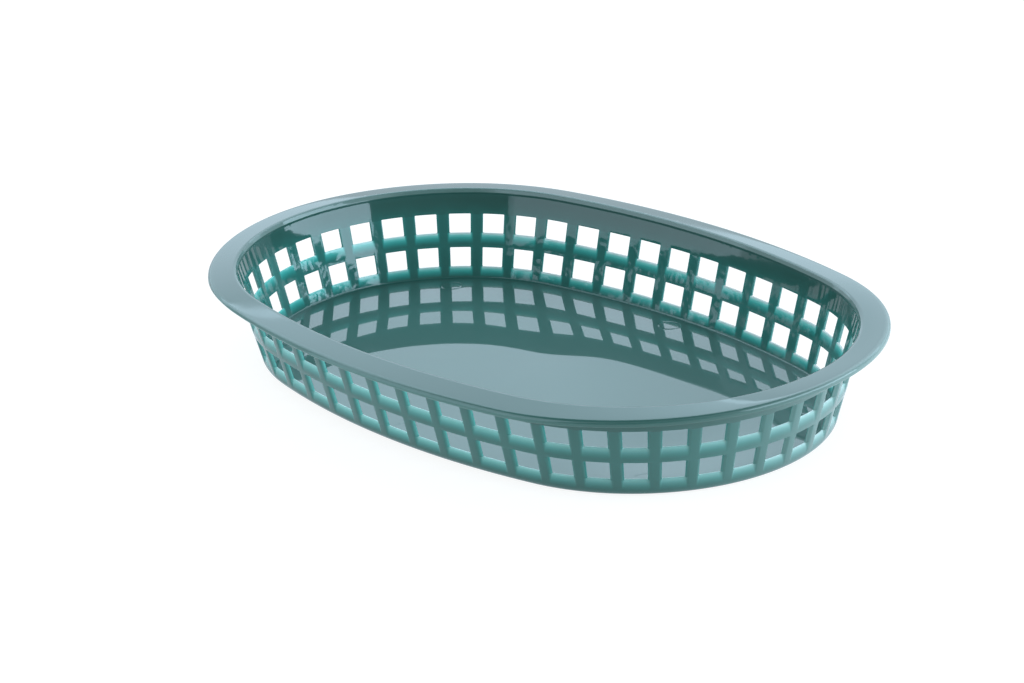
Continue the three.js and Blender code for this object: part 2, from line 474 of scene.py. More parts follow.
def foot_rows(sizes):
    """Rows of the wall's foot from the floor seam up: fillet inside, rounded heel outside."""
    lean, fillet, heel = sizes.wall_lean, sizes.floor_fillet, sizes.heel_radius
    seam = floor_seam(sizes)
    heel_inset = inner_inset(sizes, heel) - sizes.wall_thickness + heel / math.cos(lean)
    inside = arc_points(seam - SEAM_RUN, FLOOR_HIGH + fillet, fillet, -QUARTER, -lean, FOOT_STEPS)
    outside = arc_points(heel_inset, heel, heel, -QUARTER, -lean, FOOT_STEPS)
    rows = [FootRow((seam, FLOOR_HIGH), (seam, 0))]
    return rows + [FootRow(inner, outer) for inner, outer in zip(inside, outside)]


EDGE_STEPS = (0, 0.3, 1)
BAND_STEPS = 4
THINNING_STEPS = 5
UPRIGHT_STEPS = 3


def spread(low, high, count):
    """Levels from low to high, both included."""
    return [low + (high - low) * step / count for step in range(count + 1)]


def edge_levels(sizes, low):
    """Levels of a bar's rounded lower edge."""
    return [low + step * sizes.edge_round for step in EDGE_STEPS]


def thin_top_levels(sizes, low, top):
    """Levels of a rail's thinning part, closer together towards its lip."""
    lip = [top - step * sizes.rail_lip / 2 for step in reversed(EDGE_STEPS)]
    return spread(low, lip[0], THINNING_STEPS)[:-1] + lip


CORNER_STEPS = (1, 0.5, 0.2)


def stub_levels(sizes, level, way):
    """Levels of the short stubs of upright that belong to a bar, from the cut to the bar's edge."""
    return [level + way * step * sizes.window_corner for step in CORNER_STEPS]


# Meshes

SHARP_ANGLE = math.radians(50)


def finished_piece(name, mesh, material, nodes):
    """Links a mesh as a piece of the basket that stands for its nodes of the frame."""
    mesh.polygons.foreach_set("use_smooth", [True] * len(mesh.polygons))
    mesh.set_sharp_from_angle(angle=SHARP_ANGLE)
    mesh.materials.append(material)
    piece = bpy.data.objects.new(name, mesh)
    bpy.context.scene.collection.objects.link(piece)
    even = piece.modifiers.new("even shading", "WEIGHTED_NORMAL")
    even.keep_sharp = True
    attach(piece, BODY)
    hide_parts(*nodes)
    return piece


def paint_light(mesh, light):
    """Stores the painted glow and the painted edge light of every vertex."""
    for number, name in enumerate((GLOW, EDGE_LIGHT)):
        layer = mesh.attributes.new(name, "FLOAT", "POINT")
        layer.data.foreach_set("value", [levels[number] for levels in light])


def mesh_of(name, points, faces):
    """A mesh of points and faces."""
    mesh = bpy.data.meshes.new(name)
    mesh.from_pydata(points, [], faces)
    if mesh.validate():
        raise RuntimeError(f"{name} has faces that can't be used")
    return mesh


class Shell:
    """Closed piece of wall made from a grid of cells: inner faces, outer faces and the edges between."""

    def __init__(self, sizes, stations, rows):
        self.sizes = sizes
        self.stations = stations
        self.rows = rows
        self.points = []
        self.light = []
        self.faces = []
        self.found = {}

    def solid(self, place, row):
        """Whether the cell from a station to the next, and from a row to the next, is plastic."""
        if not 0 <= row < len(self.rows) - 1:
            return False
        first, last = self.rows[row], self.rows[row + 1]
        if isinstance(first, FootRow) or isinstance(last, FootRow):
            return True
        here = self.stations[place % len(self.stations)]
        after = self.stations[(place + 1) % len(self.stations)]
        in_upright = min(inside_upright(here), inside_upright(after)) > -EDGE_SLACK
        return in_upright or not in_window_row((first.z + last.z) / 2)

    def corner(self, place, row):
        """Numbers of the inner and outer vertex at a station and a row."""
        place %= len(self.stations)
        if (place, row) not in self.found:
            station = self.stations[place]
            inner, outer, thickness = self.rows[row].faces(self.sizes, station)
            self.found[place, row] = (len(self.points), len(self.points) + 1)
            self.points.append(wall_point(self.sizes, station, *inner))
            self.points.append(wall_point(self.sizes, station, *outer))
            self.light += wall_light(self.sizes, station, inner[1], thickness)
        return self.found[place, row]

    def cell(self, place, row):
        """Faces of one cell, with an edge face on each side that has no neighbour."""
        corners = [(place, row), (place + 1, row), (place + 1, row + 1), (place, row + 1)]
        beyond = [(place, row - 1), (place + 1, row), (place, row + 1), (place - 1, row)]
        pairs = [self.corner(*corner) for corner in corners]
        self.faces.append([outer for inner, outer in pairs])
        self.faces.append([inner for inner, outer in reversed(pairs)])
        for side, neighbour in enumerate(beyond):
            if not self.solid(*neighbour):
                here, after = pairs[side], pairs[(side + 1) % 4]
                self.faces.append([after[1], here[1], here[0], after[0]])

    def fill(self, places):
        """Makes the solid cells at the given places around the wall."""
        for place in places:
            for row in range(len(self.rows) - 1):
                if self.solid(place, row):
                    self.cell(place, row)
        return self


def wall_mesh(name, shells):
    """One mesh of filled shells, with the painted light of their vertices."""
    points, light, faces = [], [], []
    for shell in shells:
        start = len(points)
        points += shell.points
        light += shell.light
        faces += [[start + corner for corner in face] for face in shell.faces]
    mesh = mesh_of(name, points, faces)
    paint_light(mesh, light)
    return mesh


def swept_ring(name, sizes, stations, sections):
    """A ring of closed sections of insets and heights, one per station, outward side first going up."""
    size = len(sections[0])
    points = []
    for station, section in zip(stations, sections):
        points += [wall_point(sizes, station, inset, z) for inset, z in section]
    faces = []
    for place in range(len(stations)):
        here = place * size
        there = (place + 1) % len(stations) * size
        for step in range(size):
            after = (step + 1) % size
            faces.append([here + step, there + step, there + after, here + after])
    return mesh_of(name, points, faces)


# Plastic

def empty_tree(owner):
    """The node tree of a material or a world, with nothing in it yet."""
    owner.use_nodes = True
    owner.node_tree.nodes.clear()
    return owner.node_tree


def node_group(name, inputs, outputs):
    """A new shader node group with its sockets, and its input and output nodes."""
    group = bpy.data.node_groups.new(name, "ShaderNodeTree")
    for label, kind in inputs:
        group.interface.new_socket(label, in_out="INPUT", socket_type=kind)
    for label, kind in outputs:
        group.interface.new_socket(label, in_out="OUTPUT", socket_type=kind)
    entry = group.nodes.new("NodeGroupInput")
    entry.location = (-800, 0)
    leave = group.nodes.new("NodeGroupOutput")
    leave.location = (600, 0)
    return group, entry, leave


def add_node(tree, kind, place, values=None, **options):
    """Adds a node, sets its options and its input values, and wires the sockets among them."""
    node = tree.nodes.new(kind)
    node.location = place
    for option, value in options.items():
        setattr(node, option, value)
    for socket, value in (values or {}).items():
        if isinstance(value, bpy.types.NodeSocket):
            tree.links.new(value, node.inputs[socket])
        else:
            node.inputs[socket].default_value = value
    return node


# Sockets of a Mix node that mixes colours
MIX_FACTOR, MIX_FIRST, MIX_SECOND, MIX_RESULT = 0, 6, 7, 2


def mix_colours(tree, place, factor, first, second):
    """Result of mixing two colours."""
    values = {MIX_FACTOR: factor, MIX_FIRST: first, MIX_SECOND: second}
    return add_node(tree, "ShaderNodeMix", place, values, data_type="RGBA").outputs[MIX_RESULT]


def math_node(tree, place, operation, first, second):
    """Result of one operation on two numbers."""
    node = add_node(tree, "ShaderNodeMath", place, {0: first, 1: second}, operation=operation)
    return node.outputs[0]


def noise(tree, place, vector, scale, detail, distortion=0.0):
    """Value of a noise texture."""
    values = {"Vector": vector, "Scale": scale, "Detail": detail, "Distortion": distortion}
    return add_node(tree, "ShaderNodeTexNoise", place, values).outputs["Fac"]


def ramp(tree, place, value, low, high, start=0.0, end=1.0):
    """A number that runs from its start to its end while another runs from low to high."""
    values = {"Value": value, "From Min": low, "From Max": high, "To Min": start, "To Max": end}
    return add_node(tree, "ShaderNodeMapRange", place, values).outputs["Result"]


FLOAT = "NodeSocketFloat"
COLOUR = "NodeSocketColor"


def painted_glow_plastic_group():
    """Colour of the plastic with painted glow and painted edge light where light would pass through thin
    edges, lifted by a painted backlight, with faint flow streaks.
    """
    group, entry, leave = node_group(
        "plastic with painted glow",
        [("Glow", FLOAT), ("Edge Light", FLOAT), ("Backlight", FLOAT),
         ("Body", COLOUR), ("Painted Glow Colour", COLOUR), ("Edge", COLOUR), ("Flow", FLOAT)],
        [("Color", COLOUR)])
    place = add_node(group, "ShaderNodeTexCoord", (-1000, -300)).outputs["Object"]
    flow = noise(group, (-800, -300), place, scale=14.0, detail=3.0, distortion=1.2)
    shade = ramp(group, (-600, -300), flow, low=0.3, high=0.7, start=-1.0, end=1.0)
    drift = math_node(group, (-400, -300), "MULTIPLY", shade, entry.outputs["Flow"])
    lift = math_node(group, (-200, -300), "ADD", drift, 1.0)
    # Painted glow: the stored glow plus the skin's painted backlight, mixing the body colour towards the
    # glow colour
    glow = math_node(group, (-500, 200), "ADD", entry.outputs["Glow"], entry.outputs["Backlight"])
    inner = mix_colours(group, (-300, 200), glow, entry.outputs["Body"], entry.outputs["Painted Glow Colour"])
    # Painted edge light, mixing towards the near-white edge colour
    rim = mix_colours(group, (-100, 200), entry.outputs["Edge Light"], inner, entry.outputs["Edge"])
    tone = add_node(group, "ShaderNodeVectorMath", (200, 100), {0: rim, "Scale": lift}, operation="SCALE")
    group.links.new(tone.outputs[0], leave.inputs["Color"])
    return group


def moulded_skin_group():
    """Height of a moulded skin: broad sink waves under a fine grain."""
    group, entry, leave = node_group(
        "moulded skin",
        [("Wave Size", FLOAT), ("Wave Depth", FLOAT), ("Wave Detail", FLOAT), ("Grain Depth", FLOAT)],
        [("Height", FLOAT)])
    place = add_node(group, "ShaderNodeTexCoord", (-1000, 200)).outputs["Object"]
    waves = noise(group, (-500, 200), place, entry.outputs["Wave Size"], entry.outputs["Wave Detail"])
    grain = noise(group, (-500, -100), place, scale=2600.0, detail=2.0)
    broad = math_node(group, (-200, 200), "MULTIPLY", waves, entry.outputs["Wave Depth"])
    fine = math_node(group, (-200, -100), "MULTIPLY", grain, entry.outputs["Grain Depth"])
    group.links.new(math_node(group, (100, 100), "ADD", broad, fine), leave.inputs["Height"])
    return group


HAIR_TURNS = (25.0, 112.0)
HAIR_SCALE = (40.0, 2200.0, 400.0)


def handling_group():
    """Roughness of a used gloss: faint hairline scuffs and cloudy patches."""
    group, entry, leave = node_group(
        "handling marks", [("Gloss", FLOAT), ("Scuff", FLOAT)], [("Roughness", FLOAT)])
    place = add_node(group, "ShaderNodeTexCoord", (-1400, 0)).outputs["Object"]
    scuff = entry.outputs["Scuff"]
    total = entry.outputs["Gloss"]
    for number, turn in enumerate(HAIR_TURNS):
        level = -200 * number
        turned = add_node(group, "ShaderNodeMapping", (-1200, level), {
            "Vector": place, "Rotation": (0, 0, math.radians(turn)), "Scale": HAIR_SCALE})
        hairs = noise(group, (-1000, level), turned.outputs["Vector"], scale=1.0, detail=2.0)
        fine = ramp(group, (-800, level), hairs, low=0.62, high=0.75)
        amount = math_node(group, (-600, level), "MULTIPLY", fine, scuff)
        total = math_node(group, (-300, level), "ADD", total, amount)
    clouds = noise(group, (-1000, -500), place, scale=45.0, detail=4.0)
    patch = ramp(group, (-800, -500), clouds, low=0.45, high=0.8)
    veil = math_node(group, (-600, -500), "MULTIPLY", patch, scuff)
    group.links.new(math_node(group, (0, 0), "ADD", total, veil), leave.inputs["Roughness"])
    return group


GROUP_MAKERS = {
    "plastic with painted glow": painted_glow_plastic_group,
    "moulded skin": moulded_skin_group,
    "handling marks": handling_group,
}


def group_node(tree, name, place, values):
    """Places a shared node group, which is built the first time."""
    group = bpy.data.node_groups.get(name) or GROUP_MAKERS[name]()
    return add_node(tree, "ShaderNodeGroup", place, values, node_tree=group)


class Skin(NamedTuple):
    """How one face of the moulding differs from the others."""

    polish: float
    # backlight: painted glow added all over the face, standing in for light from behind
    backlight: float
    wave_size: float
    wave_depth: float
    scuff: float
    flow: float
    wave_detail: float = 1.0
    grain_depth: float = 0.0004 * MM
    veil: float = 0.0
    shine: float = 0.5


SKINS = {
    "rim plastic": Skin(
        polish=1.0, backlight=0.01, wave_size=30.0, wave_depth=0.05 * MM, scuff=0.04, flow=0.05),
    "wall plastic": Skin(
        polish=0.7, backlight=0.0, wave_size=60.0, wave_depth=0.06 * MM, scuff=0.02, flow=0.06,
        wave_detail=3.0),
    "lattice plastic": Skin(
        polish=1.2, backlight=0.038, wave_size=260.0, wave_depth=0.07 * MM, scuff=0.02, flow=0.06),
    "floor plastic": Skin(
        polish=0.4, backlight=0.03, wave_size=25.0, wave_depth=0.02 * MM, scuff=0.01, flow=0.04,
        grain_depth=0.0001 * MM, veil=0.22, shine=0.43),
}


def plastic(name):
    """Glossy moulded plastic for one face of the basket, with painted glow and painted edge light in its
    colour.
    """
    if name in bpy.data.materials:
        return bpy.data.materials[name]
    finish = bpy.context.scene.basket_finish
    skin = SKINS[name]
    material = bpy.data.materials.new(name)
    tree = empty_tree(material)
    # Painted glow and painted edge light that the mesh stores
    glow = add_node(tree, "ShaderNodeAttribute", (-900, 400), attribute_name=GLOW)
    edge_light = add_node(tree, "ShaderNodeAttribute", (-900, 200), attribute_name=EDGE_LIGHT)
    glow_painted_colour = group_node(tree, "plastic with painted glow", (-600, 300), {
        "Glow": glow.outputs["Fac"], "Edge Light": edge_light.outputs["Fac"],
        "Backlight": skin.backlight, "Body": (*finish.body, 1), "Painted Glow Colour": (*finish.thin, 1),
        "Edge": (*finish.edge, 1), "Flow": skin.flow})
    marks = group_node(tree, "handling marks", (-600, 0),
                       {"Gloss": finish.gloss * skin.polish, "Scuff": skin.scuff})
    relief = group_node(tree, "moulded skin", (-600, -300), {
        "Wave Size": skin.wave_size, "Wave Depth": skin.wave_depth,
        "Wave Detail": skin.wave_detail, "Grain Depth": skin.grain_depth})
    bump = add_node(tree, "ShaderNodeBump", (-300, -300),
                    {"Height": relief.outputs["Height"], "Distance": 1.0, "Strength": 1.0})
    shader = add_node(tree, "ShaderNodeBsdfPrincipled", (0, 0), {
        "Base Color": glow_painted_colour.outputs["Color"], "Roughness": marks.outputs["Roughness"],
        "Normal": bump.outputs["Normal"], "IOR": 1.5, "Specular IOR Level": skin.shine,
        "Coat Weight": skin.veil, "Coat Roughness": 0.4})
    add_node(tree, "ShaderNodeOutputMaterial", (300, 0), {"Surface": shader.outputs["BSDF"]})
    return material


# Pieces

CREST_DROP = 0.1 * MM
LOW_ROUND_STEPS = 4
EDGE_ROUND_STEPS = 8
TOP_STEPS = 10
CREST_STEPS = 8
BEAD_CORNER_STEPS = 4
BEAD_STEPS = 8
HOLLOW_STEPS = 6


def bent(first, middle, last, count):
    """Points between two ends of a smooth bend that leaves each end towards its middle."""
    points = []
    for step in range(1, count):
        run = step / count
        pulls = ((1 - run) ** 2, 2 * run * (1 - run), run ** 2)
        pulled = list(zip(pulls, (first, middle, last)))
        points.append(tuple(sum(pull * point[axis] for pull, point in pulled) for axis in (0, 1)))
    return points


def straight_from(start, fall, length):
    """End of a straight that leaves a point of a section inward at a slope."""
    return start[0] + length * math.cos(fall), start[1] - length * math.sin(fall)


def arc_from(start, radius, first, last, count):
    """Arc from a point of a section at one slope to another slope, hollow if its radius is negative."""
    inset = start[0] - radius * math.sin(first)
    z = start[1] - radius * math.cos(first)
    return arc_points(inset, z, radius, QUARTER + first, QUARTER + last, count)


def rim_edge(sizes, lip):
    """The rim's outer edge: a small round below, and a large one that starts where they meet."""
    low, high = sizes.rim_lower_round, sizes.rim_edge_round
    middle = RIM_LOW.z + sizes.rim_thickness - high
    meet = RIM_LOW.z - lip + low
    start = math.asin(max(0, meet - middle) / high)
    end = QUARTER - sizes.rim_edge_fall
    below = arc_points(low + high * (1 - math.cos(start)), meet, low, -QUARTER, 0, LOW_ROUND_STEPS)
    return below + arc_points(high, middle, high, start, end, EDGE_ROUND_STEPS)


def rim_bead(sizes, start):
    """Bead inside the rim: a corner, a sloping face, a round and the hollow down to the wall."""
    fall, face, slant = sizes.rim_inner_fall, sizes.rim_bead_face, math.tan(sizes.wall_lean)
    under = QUARTER + sizes.rim_bead_lean
    turn = QUARTER - sizes.wall_lean

    def reach(first, last):
        """How far an arc of unit radius comes in over the leaning wall."""
        return math.sin(last) - math.sin(first) - slant * (math.cos(first) - math.cos(last))

    gap = inner_inset(sizes, start[1]) - start[0] - sizes.rim_bead_corner * reach(fall, face)
    gap -= sizes.rim_bead_round * reach(face, under) + sizes.rim_bead_root * reach(turn, under)
    length = gap / (math.cos(face) - slant * math.sin(face))
    corner = arc_from(start, sizes.rim_bead_corner, fall, face, BEAD_CORNER_STEPS)
    foot = straight_from(corner[-1], face, length)
    bead = arc_from(foot, sizes.rim_bead_round, face, under, BEAD_STEPS)
    return corner + bead + arc_from(bead[-1], -sizes.rim_bead_root, under, turn, HOLLOW_STEPS)[1:]


def rim_section(sizes, lip):
    """Section of the rim: underside, rounded edge, sloping top, crest and the bead inside it."""
    edge_fall, top_fall, inner_fall = sizes.rim_edge_fall, sizes.rim_top_fall, sizes.rim_inner_fall
    edge = rim_edge(sizes, lip)
    crest_middle = RIM_HIGH.z - CREST_DROP - sizes.rim_crest_round
    crest = arc_points(sizes.rim_crest, crest_middle, sizes.rim_crest_round,
                       QUARTER - top_fall, QUARTER + inner_fall, CREST_STEPS)
    first, last = edge[-1], crest[0]
    rise = last[1] - first[1] - (last[0] - first[0]) * math.tan(top_fall)
    run = rise / (math.tan(edge_fall) - math.tan(top_fall))
    top = bent(first, (first[0] + run, first[1] + run * math.tan(edge_fall)), last, TOP_STEPS)
    inside = straight_from(crest[-1], inner_fall, sizes.rim_inner_slope)
    seam = inner_inset(sizes, RIM_LOW.z)
    root = seam - sizes.wall_thickness
    under = RIM_LOW.z + root * math.tan(top_fall)
    neck = inner_inset(sizes, under) - sizes.wall_thickness
    below = [(seam, RIM_LOW.z), (root, RIM_LOW.z), (neck, under)]
    return below + edge + top + crest + rim_bead(sizes, inside)


# Where the rim is out of true: directions and their reach in degrees, and shares of the rim's spring
RIM_SPRINGS = ((15, 45, 1.0), (135, 30, 0.18), (182, 28, 0.28), (-79, 20, -0.35))
SPRING_ROOT = 9.9 * MM
RIM_THIN = (-108, 22)

# Painted light at the rim's edge and on the bead's face, from the middle of its corner to the start of
# its round
RIM_LEFT_LIGHT = (0.06, 0.065)
RIM_RIGHT_LIGHT = (0.04, 0.19)
RIM_EDGE_REACH = 2 * MM
BEAD_LIGHT = (0.03, 0.1)
BEAD_FOOT = -(BEAD_STEPS + 1 + HOLLOW_STEPS)
BEAD_LIT = range(BEAD_FOOT - 3, BEAD_FOOT + 2)


def rim_spring(sizes, station, inset):
    """How far the flange springs up out of true at a station, most at its edge."""
    rise = sum(amount * nearness(sizes, station, turn, reach) for turn, reach, amount in RIM_SPRINGS)
    return sizes.rim_spring * rise * max(0, 1 - inset / SPRING_ROOT)


def rim_light(sizes, station, section):
    """Painted glow and painted edge light of the points of the rim's section at a station, at its edge on
    the left and right and on the bead's face.
    """
    left = nearness(sizes, station, *LIT_LEFT)
    right = nearness(sizes, station, *LIT_RIGHT)
    light = []
    for index, (inset, z) in enumerate(section, -len(section)):
        edge = max(0, 1 - inset / RIM_EDGE_REACH)
        face = index in BEAD_LIT
        light.append([edge * (left * low + right * high) + face * bead
                      for low, high, bead in zip(RIM_LEFT_LIGHT, RIM_RIGHT_LIGHT, BEAD_LIGHT)])
    return light


def make_rim(sizes):
    """The drooping flange around the top."""
    stations = stations_around(sizes)
    sections = []
    light = []
    for station in stations:
        lip = sizes.rim_lip - sizes.rim_thinning * nearness(sizes, station, *RIM_THIN)
        section = rim_section(sizes, lip)
        sections.append([(inset, z + rim_spring(sizes, station, inset)) for inset, z in section])
        light += rim_light(sizes, station, section)
    mesh = swept_ring("rim_flange", sizes, stations, sections)
    paint_light(mesh, light)
    return finished_piece("rim_flange.moulded", mesh, plastic("rim plastic"), ["rim_flange"])


def make_bar(sizes, node, rows):
    """A level bar all around the wall, with the stubs of the uprights that meet it."""
    stations = stations_around(sizes)
    mesh = wall_mesh(node, [Shell(sizes, stations, rows).fill(range(len(stations)))])
    skin = "wall plastic" if node == "upper_band" else "lattice plastic"
    return finished_piece(f"{node}.moulded", mesh, plastic(skin), [node])


def make_upper_band(sizes):
    """The plain band under the rim."""
    levels = stub_levels(sizes, UPPER_BAND_LOW, -1) + edge_levels(sizes, UPPER_BAND_LOW)
    levels += spread(levels[-1], RIM_LOW.z, BAND_STEPS)[1:]
    return make_bar(sizes, "upper_band", [WallRow(z) for z in levels])


def make_middle_rail(sizes):
    """The rail between the two rows of windows."""
    levels = stub_levels(sizes, RAIL_LOW, -1) + edge_levels(sizes, RAIL_LOW)
    levels += thin_top_levels(sizes, RAIL_LOW + sizes.rail_edge_height, RAIL_HIGH)
    levels += reversed(stub_levels(sizes, RAIL_HIGH, 1))
    return make_bar(sizes, "middle_rail", [WallRow(z) for z in levels])


def make_lower_band(sizes):
    """The band at the foot of the wall, with its heel and the fillet to the floor."""
    levels = thin_top_levels(sizes, FLOOR_HIGH + sizes.floor_fillet, LOWER_BAND_HIGH)
    levels += reversed(stub_levels(sizes, LOWER_BAND_HIGH, 1))
    return make_bar(sizes, "lower_band", foot_rows(sizes) + [WallRow(z) for z in levels])


# Pieces of uprights: their arc, the nodes they stand for and how many arcs of such nodes come before
UPRIGHT_GROUPS = {
    "end_uprights_right": (0, "end_upright", 0),
    "side_uprights_back": (1, "side_upright", 0),
    "end_uprights_left": (2, "end_upright", 1),
    "side_uprights_front": (3, "side_upright", 1),
}


def make_uprights(sizes, name):
    """The uprights of one arc, each in two lengths between the bars."""
    arc_number, node, before = UPRIGHT_GROUPS[name]
    arc = plan_arcs(sizes)[arc_number]
    stations = stations_around(sizes)
    places = [place for place, station in enumerate(stations) if station.arc == arc]
    shells = []
    for low, high in window_spans():
        levels = spread(low + sizes.window_corner, high - sizes.window_corner, UPRIGHT_STEPS)
        shells.append(Shell(sizes, stations, [WallRow(z) for z in levels]).fill(places))
    nodes = [f"{node}_{before * arc.uprights + number + 1:02d}" for number in range(arc.uprights)]
    return finished_piece(name, wall_mesh(name, shells), plastic("lattice plastic"), nodes)


# Floor

class Mark(NamedTuple):
    """A round tool mark: its middle, radius and how far its face and its ring stand from the plate."""

    x: float
    y: float
    radius: float
    face: float
    ring: float

    def outside(self, x, y):
        """How far a point lies outside the mark's edge."""
        return math.hypot(x - self.x, y - self.y) - self.radius


MARK_RING = 0.2 * MM
MARK_REACH = 5 * MARK_RING
MARK_STEPS = (-3, -1, 0, 1, 3)
MARK_POINTS = 48
PIN_SIDE = 64 * MM
PIN_CORNER = (90 * MM, 39 * MM)
PIN_FACE = 0.035 * MM
PIN_RING = -0.09 * MM
GATE_FACE = 0.1 * MM
GATE_RING = 0.15 * MM
PLATE_GRID = 3.5 * MM
PLATE_TOLERANCE = 1e-7


def pin_marks(sizes):
    """The six ejector marks in the floor: the middles of the sides and the four corners."""
    places = [(0, PIN_SIDE), (0, -PIN_SIDE)]
    places += [(x * PIN_CORNER[0], y * PIN_CORNER[1]) for x in (-1, 1) for y in (-1, 1)]
    return [Mark(x, y, sizes.pin_mark / 2, PIN_FACE, PIN_RING) for x, y in places]


def mark_height(marks, x, y):
    """How far the tool marks raise or sink a plate at a point."""
    total = 0
    for mark in marks:
        out = mark.outside(x, y)
        if out < MARK_REACH:
            total += mark.ring * math.exp(-(out / MARK_RING) ** 2)
            total += mark.face if out < 0 else 0
    return total


def ring_points(mark):
    """Rings of points along a mark's edge."""
    points = []
    for step in MARK_STEPS:
        radius = mark.radius + step * MARK_RING
        for number in range(MARK_POINTS):
            turn = 2 * math.pi * number / MARK_POINTS
            points.append(Vector((mark.x + radius * math.cos(turn), mark.y + radius * math.sin(turn))))
    return points


def grid_points(sizes, least, marks):
    """Staggered points further in than an inset and clear of the marks."""
    points = []
    columns = int(sizes.length / PLATE_GRID / 2)
    lanes = int(sizes.width / PLATE_GRID / 2)
    for lane in range(-lanes, lanes + 1):
        for column in range(-columns, columns + 1):
            x = (column + lane % 2 / 2) * PLATE_GRID
            y = lane * PLATE_GRID
            clear = all(mark.outside(x, y) > MARK_REACH for mark in marks)
            if clear and inset_at(sizes, x, y) > least:
                points.append(Vector((x, y)))
    return points


def plate(sizes, edge, marks, height):
    """Points and triangles of a plate inside an edge loop, with rings of points around its marks.
    The edge loop's points come first."""
    flat = [Vector((x, y)) for x, y in edge]
    limits = [(step, (step + 1) % len(flat)) for step in range(len(flat))]
    for mark in marks:
        flat += ring_points(mark)
    least = min(inset_at(sizes, x, y) for x, y in edge) + PLATE_GRID / 2
    flat += grid_points(sizes, least, marks)
    spots, _, triangles, origins, _, _ = delaunay_2d_cdt(flat, limits, [], 1, PLATE_TOLERANCE)
    if len(spots) != len(flat):
        raise RuntimeError("the floor plate lost points")
    order = [origin[0] for origin in origins]
    points = [None] * len(flat)
    for spot, number in zip(spots, order):
        points[number] = Vector((spot.x, spot.y, height(spot.x, spot.y)))
    return points, [[order[corner] for corner in triangle] for triangle in triangles]


RIPPLE_STEP = 22 * MM
RIPPLE_REACH = 40 * MM
WARP_TURN = math.radians(47.5)
WARP_REACH = 60 * MM
WARP_CROWN = 20 * MM
WARP_EDGE = 40 * MM
WARP_LEAN = 1.3
WARP_LEAN_STEP = 3


def smooth_step(run):
    """A rise from 0 to 1 over a run from 0 to 1, level at both ends."""
    run = min(1, max(0, run))
    return run ** 2 * (3 - 2 * run)


def floor_warp(sizes, x, y):
    """How far the floor is warped up or down at a point, nothing at its edge."""
    along = (x * math.cos(WARP_TURN) + y * math.sin(WARP_TURN)) / WARP_CROWN
    across = (y * math.cos(WARP_TURN) - x * math.sin(WARP_TURN)) / WARP_REACH
    inside = smooth_step((inset_at(sizes, x, y) - floor_seam(sizes)) / WARP_EDGE)
    aside = 1 - math.exp(-along ** 2)
    lean = 1 + WARP_LEAN / (1 + math.exp(-WARP_LEAN_STEP * along))
    return sizes.floor_warp * lean * across * aside * inside


def floor_top_height(sizes, marks, x, y):
    """Height of the floor's upper face: its warp, a faint ripple around the gate, and the pins' marks."""
    out = math.hypot(x, y)
    fade = math.exp(-(out / RIPPLE_REACH) ** 4)
    ripple = sizes.floor_ripple * math.cos(math.pi * out / RIPPLE_STEP) * fade
    return FLOOR_HIGH + ripple + floor_warp(sizes, x, y) + mark_height(marks, x, y)


FOOT_EDGE_ROUND = 0.25 * MM


def make_floor(sizes):
    """The solid floor, standing on a low ring, with ejector marks above and the gate mark below."""
    stations = stations_around(sizes)
    seam = floor_seam(sizes)
    foot = inner_inset(sizes, FLOOR_HIGH) + sizes.foot_width
    pins = pin_marks(sizes)
    gate = [Mark(0, 0, sizes.gate_mark / 2, GATE_FACE, GATE_RING)]
    loops = [(seam, FLOOR_HIGH), (seam, 0),
             (foot - FOOT_EDGE_ROUND, 0), (foot, FOOT_EDGE_ROUND), (foot, FLOOR_LOW)]
    rings = [[wall_point(sizes, station, inset, z) for station in stations] for inset, z in loops]
    points, faces = plate(sizes, [point.xy for point in rings[0]], pins,
                          lambda x, y: floor_top_height(sizes, pins, x, y))
    under, under_faces = plate(sizes, [point.xy for point in rings[-1]], gate,
                               lambda x, y: FLOOR_LOW + mark_height(gate, x, y))
    starts = [0]
    for ring in (*rings[1:-1], under):
        starts.append(len(points))
        points += ring
    faces += [[starts[-1] + corner for corner in reversed(face)] for face in under_faces]
    for upper, lower in zip(starts, starts[1:]):
        for place in range(len(stations)):
            after = (place + 1) % len(stations)
            faces.append([lower + place, lower + after, upper + after, upper + place])
    mesh = mesh_of("floor_panel", points, faces)
    return finished_piece("floor_panel.moulded", mesh, plastic("floor plastic"), ["floor_panel"])


# Stage

SENSOR_WIDTH = 36


def direction(azimuth, elevation):
    """Unit vector at a turn from the front and a height angle."""
    level = math.cos(elevation)
    return Vector((math.sin(azimuth) * level, -math.cos(azimuth) * level, math.sin(elevation)))


def add_camera(stage):
    """The camera at the viewing angle."""
    back = direction(stage.azimuth, stage.elevation)
    right = Vector((math.cos(stage.azimuth), math.sin(stage.azimuth), 0))
    up = back.cross(right)
    place = back * stage.reach + right * stage.slide + up * stage.lift
    across = right * math.cos(stage.roll) + up * math.sin(stage.roll)
    upward = up * math.cos(stage.roll) - right * math.sin(stage.roll)
    data = bpy.data.cameras.new("camera")
    data.sensor_fit = "HORIZONTAL"
    data.sensor_width = SENSOR_WIDTH
    data.lens = stage.lens
    camera = bpy.data.objects.new("camera", data)
    turn = Matrix((across, upward, back)).transposed().to_4x4()
    camera.matrix_world = Matrix.Translation(place) @ turn
    bpy.context.scene.collection.objects.link(camera)
    bpy.context.scene.camera = camera


class Softbox(NamedTuple):
    """A soft lamp: its turn from the camera and height angle in degrees, size and brightness."""

    name: str
    turn: float
    elevation: float
    width: float
    height: float
    level: float


SOFTBOX_REACH = 1.5
SIDE_SPAN = 60


def add_softbox(stage, box):
    """A rectangular lamp that faces the basket."""
    away = direction(stage.azimuth + math.radians(box.turn), math.radians(box.elevation))
    data = bpy.data.lights.new(box.name, "AREA")
    data.shape = "RECTANGLE"
    data.size = box.width
    data.size_y = box.height
    data.color = stage.lamp_colour
    data.energy = box.level * math.pi * box.width * box.height
    lamp = bpy.data.objects.new(box.name, data)
    lamp.location = away * SOFTBOX_REACH
    lamp.rotation_euler = away.to_track_quat("Z", "Y").to_euler()
    lamp.visible_camera = False
    bpy.context.scene.collection.objects.link(lamp)


